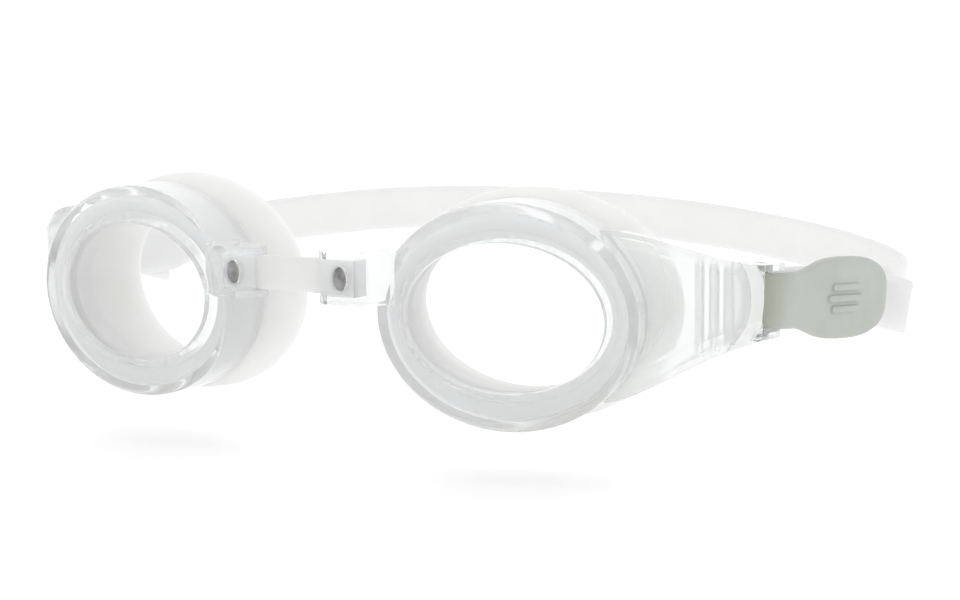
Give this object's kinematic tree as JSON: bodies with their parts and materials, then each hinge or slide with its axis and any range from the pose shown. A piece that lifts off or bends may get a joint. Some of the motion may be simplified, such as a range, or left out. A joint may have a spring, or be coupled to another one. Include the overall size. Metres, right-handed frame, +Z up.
{
  "type": "swim goggles",
  "caption": "Clear swim goggles: oval eyecups with pale face seals, a short nose bridge, hinged strap clips and a stretchy back strap.",
  "frame": {"origin": "on the symmetry plane between the eyes, level with the eye centres, where the face seals meet the face", "axes": "seen from the front, +X is to the right (the wearer's left); +Y goes back towards the head; +Z is up"},
  "size_m": [0.15, 0.1405, 0.036],
  "materials": {
    "clear_shell": "clear, glossy",
    "clear_lens": "clear, polished",
    "milky_silicone": "milky, satin",
    "dark_pin": "satin",
    "clip_plastic": "satin",
    "bridge_rubber": "satin",
    "strap_silicone": "milky, satin"
  },
  "bodies": {
    "right_side": {"right_eyecup": "clear_shell", "right_lens": "clear_lens", "right_face_seal": "milky_silicone", "right_bridge_pin": "dark_pin", "right_clip_hinge_pin": "clip_plastic", "nose_bridge": "bridge_rubber", "head_strap": "strap_silicone"},
    "left_side": {"left_eyecup": "clear_shell", "left_lens": "clear_lens", "left_face_seal": "milky_silicone", "left_bridge_pin": "dark_pin", "left_clip_hinge_pin": "clip_plastic"},
    "right_clip": {"right_clip_lever": "clip_plastic"},
    "left_clip": {"left_clip_lever": "clip_plastic"}
  },
  "joints": [
    {"name": "bridge_flex", "type": "hinge", "parent": "right_side", "child": "left_side", "pos_m": [0, -0.022, 0.0054], "axis": [0, 0, 1], "range_deg": [-8, 8], "stiffness_Nm_per_rad": 0.03, "deforming": ["nose_bridge", "head_strap"]},
    {"name": "right_clip_hinge", "type": "hinge", "parent": "right_side", "child": "right_clip", "pos_m": [0.0632, 0.0079, 0.001], "axis": [-0.0221, -0.0843, -0.9962], "range_deg": [0, 35]},
    {"name": "left_clip_hinge", "type": "hinge", "parent": "left_side", "child": "left_clip", "pos_m": [-0.0632, 0.0079, 0.001], "axis": [-0.0221, 0.0843, 0.9962], "range_deg": [0, 35]}
  ]
}
